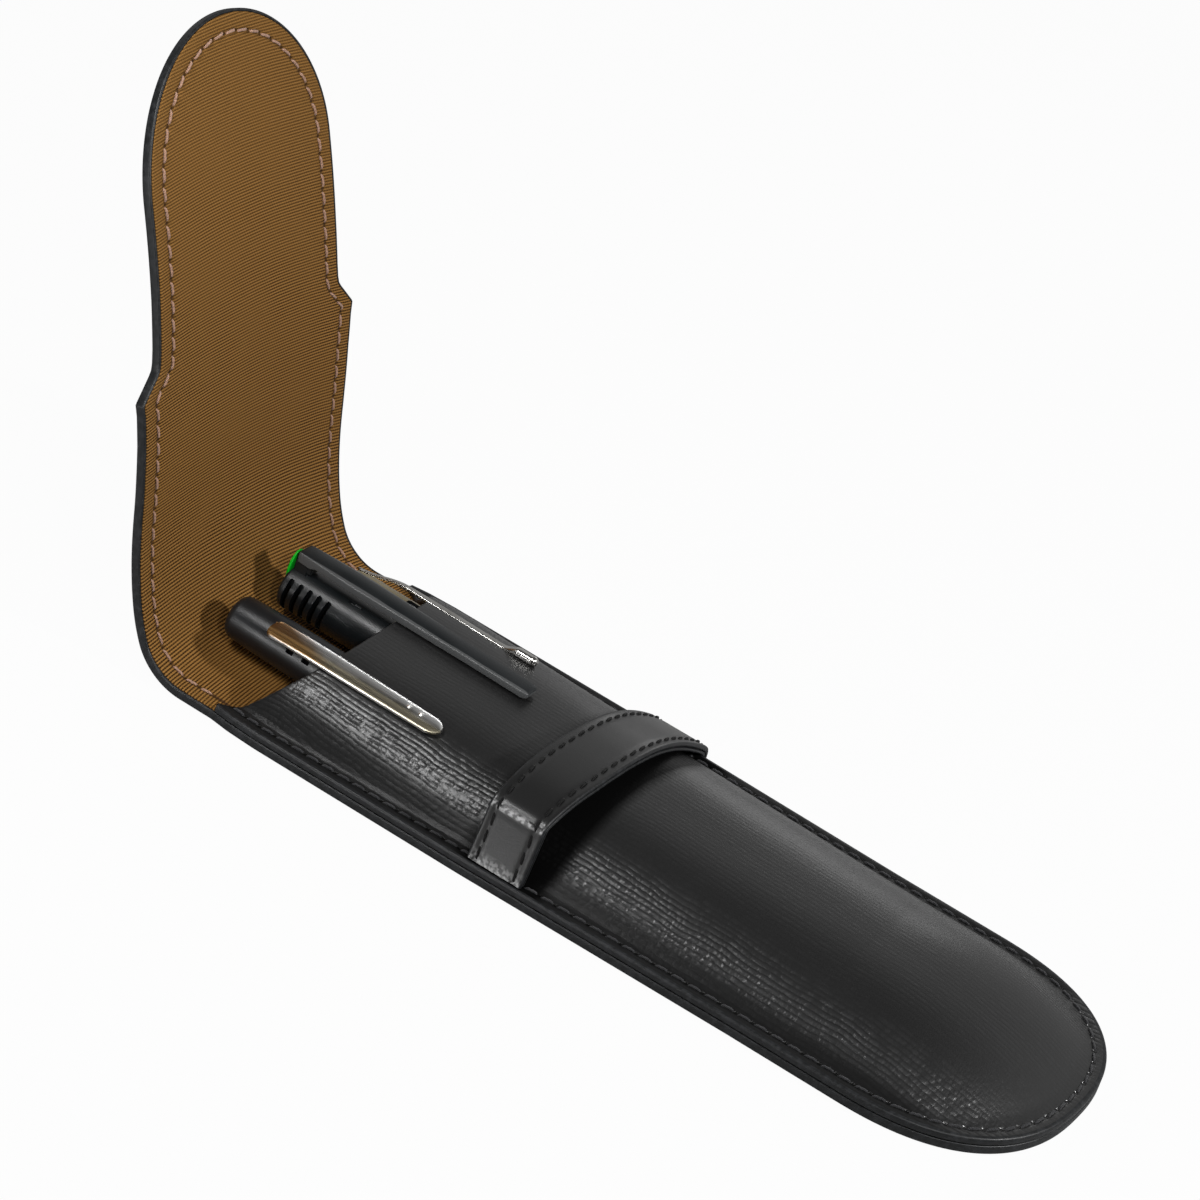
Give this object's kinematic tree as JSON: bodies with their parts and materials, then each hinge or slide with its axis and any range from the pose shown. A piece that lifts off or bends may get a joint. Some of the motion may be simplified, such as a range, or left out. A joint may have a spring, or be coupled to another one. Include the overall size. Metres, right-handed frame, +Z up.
{
  "type": "multi-pen case",
  "caption": "Slim leather pen case lying open: moulded pouch with a closure loop, a tan-lined flap standing on a soft fold, and clip-on pens in its mouth.",
  "frame": {"origin": "on the table under the middle of the pouch mouth, at the back panel's flat underside", "axes": "+X along the pouch from the mouth to the rounded tip, +Y across it towards the far pen, +Z up from the table"},
  "size_m": [0.2152, 0.0629, 0.1096],
  "materials": {
    "black_leather": "black cross-grain embossed calf leather, satin",
    "tan_twill": "tan twill lining with fine diagonal ribs",
    "black_thread": "black waxed sewing thread",
    "tan_thread": "pinkish tan sewing thread",
    "black_pen": "satin black plastic",
    "green_plug": "bright green plastic",
    "brushed_steel": "satin steel",
    "polished_steel": "polished steel"
  },
  "bodies": {
    "pouch": {"back_panel": "black_leather", "back_lining": "tan_twill", "front_panel": "black_leather", "closure_loop": "black_leather", "loop_backing": "black_leather", "pouch_seam_thread": "black_thread", "loop_thread_mouth_side": "black_thread", "loop_thread_tip_side": "black_thread"},
    "fold_1": {"fold_leather_1": "black_leather", "fold_lining_1": "tan_twill"},
    "fold_2": {"fold_leather_2": "black_leather", "fold_lining_2": "tan_twill"},
    "fold_3": {"fold_leather_3": "black_leather", "fold_lining_3": "tan_twill"},
    "fold_4": {"fold_leather_4": "black_leather", "fold_lining_4": "tan_twill"},
    "fold_5": {"fold_leather_5": "black_leather", "fold_lining_5": "tan_twill"},
    "flap": {"flap_leather": "black_leather", "flap_lining": "tan_twill", "flap_thread_near": "tan_thread", "flap_thread_far": "tan_thread"},
    "tongue": {"tongue_leather": "black_leather", "tongue_lining": "tan_twill", "tongue_thread": "tan_thread"},
    "near_pen": {"near_pen_barrel": "black_pen", "near_pen_grip": "black_pen", "near_pen_nose": "brushed_steel", "near_pen_clip": "polished_steel"},
    "middle_pen": {"middle_pen_cap": "black_pen", "middle_pen_end_plug": "green_plug", "middle_pen_grip": "black_pen", "middle_pen_nose": "black_pen", "middle_pen_clip": "black_pen"},
    "far_pen": {"far_pen_cap": "brushed_steel", "far_pen_body": "brushed_steel", "far_pen_nose": "brushed_steel", "far_pen_clip": "polished_steel"}
  },
  "joints": [
    {"name": "fold_hinge_1", "type": "hinge", "parent": "pouch", "child": "fold_1", "pos_m": [-0.0104, 0, 0.001], "axis": [0, 1, 0], "range_deg": [-30, 0]},
    {"name": "fold_hinge_2", "type": "hinge", "parent": "fold_1", "child": "fold_2", "pos_m": [-0.01577, 0, 0.0041], "axis": [0, 1, 0], "range_deg": [-30, 0]},
    {"name": "fold_hinge_3", "type": "hinge", "parent": "fold_2", "child": "fold_3", "pos_m": [-0.01887, 0, 0.00947], "axis": [0, 1, 0], "range_deg": [-5, 38]},
    {"name": "fold_hinge_4", "type": "hinge", "parent": "fold_3", "child": "fold_4", "pos_m": [-0.02099, 0, 0.0153], "axis": [0, 1, 0], "range_deg": [-3, 28.5]},
    {"name": "fold_hinge_5", "type": "hinge", "parent": "fold_4", "child": "fold_5", "pos_m": [-0.02259, 0, 0.02128], "axis": [0, 1, 0], "range_deg": [-2, 24.7]},
    {"name": "flap_hinge", "type": "hinge", "parent": "fold_5", "child": "flap", "pos_m": [-0.02378, 0, 0.02737], "axis": [0, 1, 0], "range_deg": [0, 8.55]},
    {"name": "tongue_bend", "type": "hinge", "parent": "flap", "child": "tongue", "pos_m": [-0.03, 0, 0.05772], "axis": [0, 1, 0], "range_deg": [0, 12]},
    {"name": "near_pen_slide", "type": "slide", "parent": "pouch", "child": "near_pen", "axis": [0.9998, 0, -0.0192], "range_m": [-0.001, 0.0065]},
    {"name": "middle_pen_slide", "type": "slide", "parent": "pouch", "child": "middle_pen", "axis": [0.9998, 0, -0.0192], "range_m": [-0.001, 0.012]},
    {"name": "far_pen_slide", "type": "slide", "parent": "pouch", "child": "far_pen", "axis": [0.9998, 0, -0.0192], "range_m": [-0.005, 0.0065]}
  ]
}
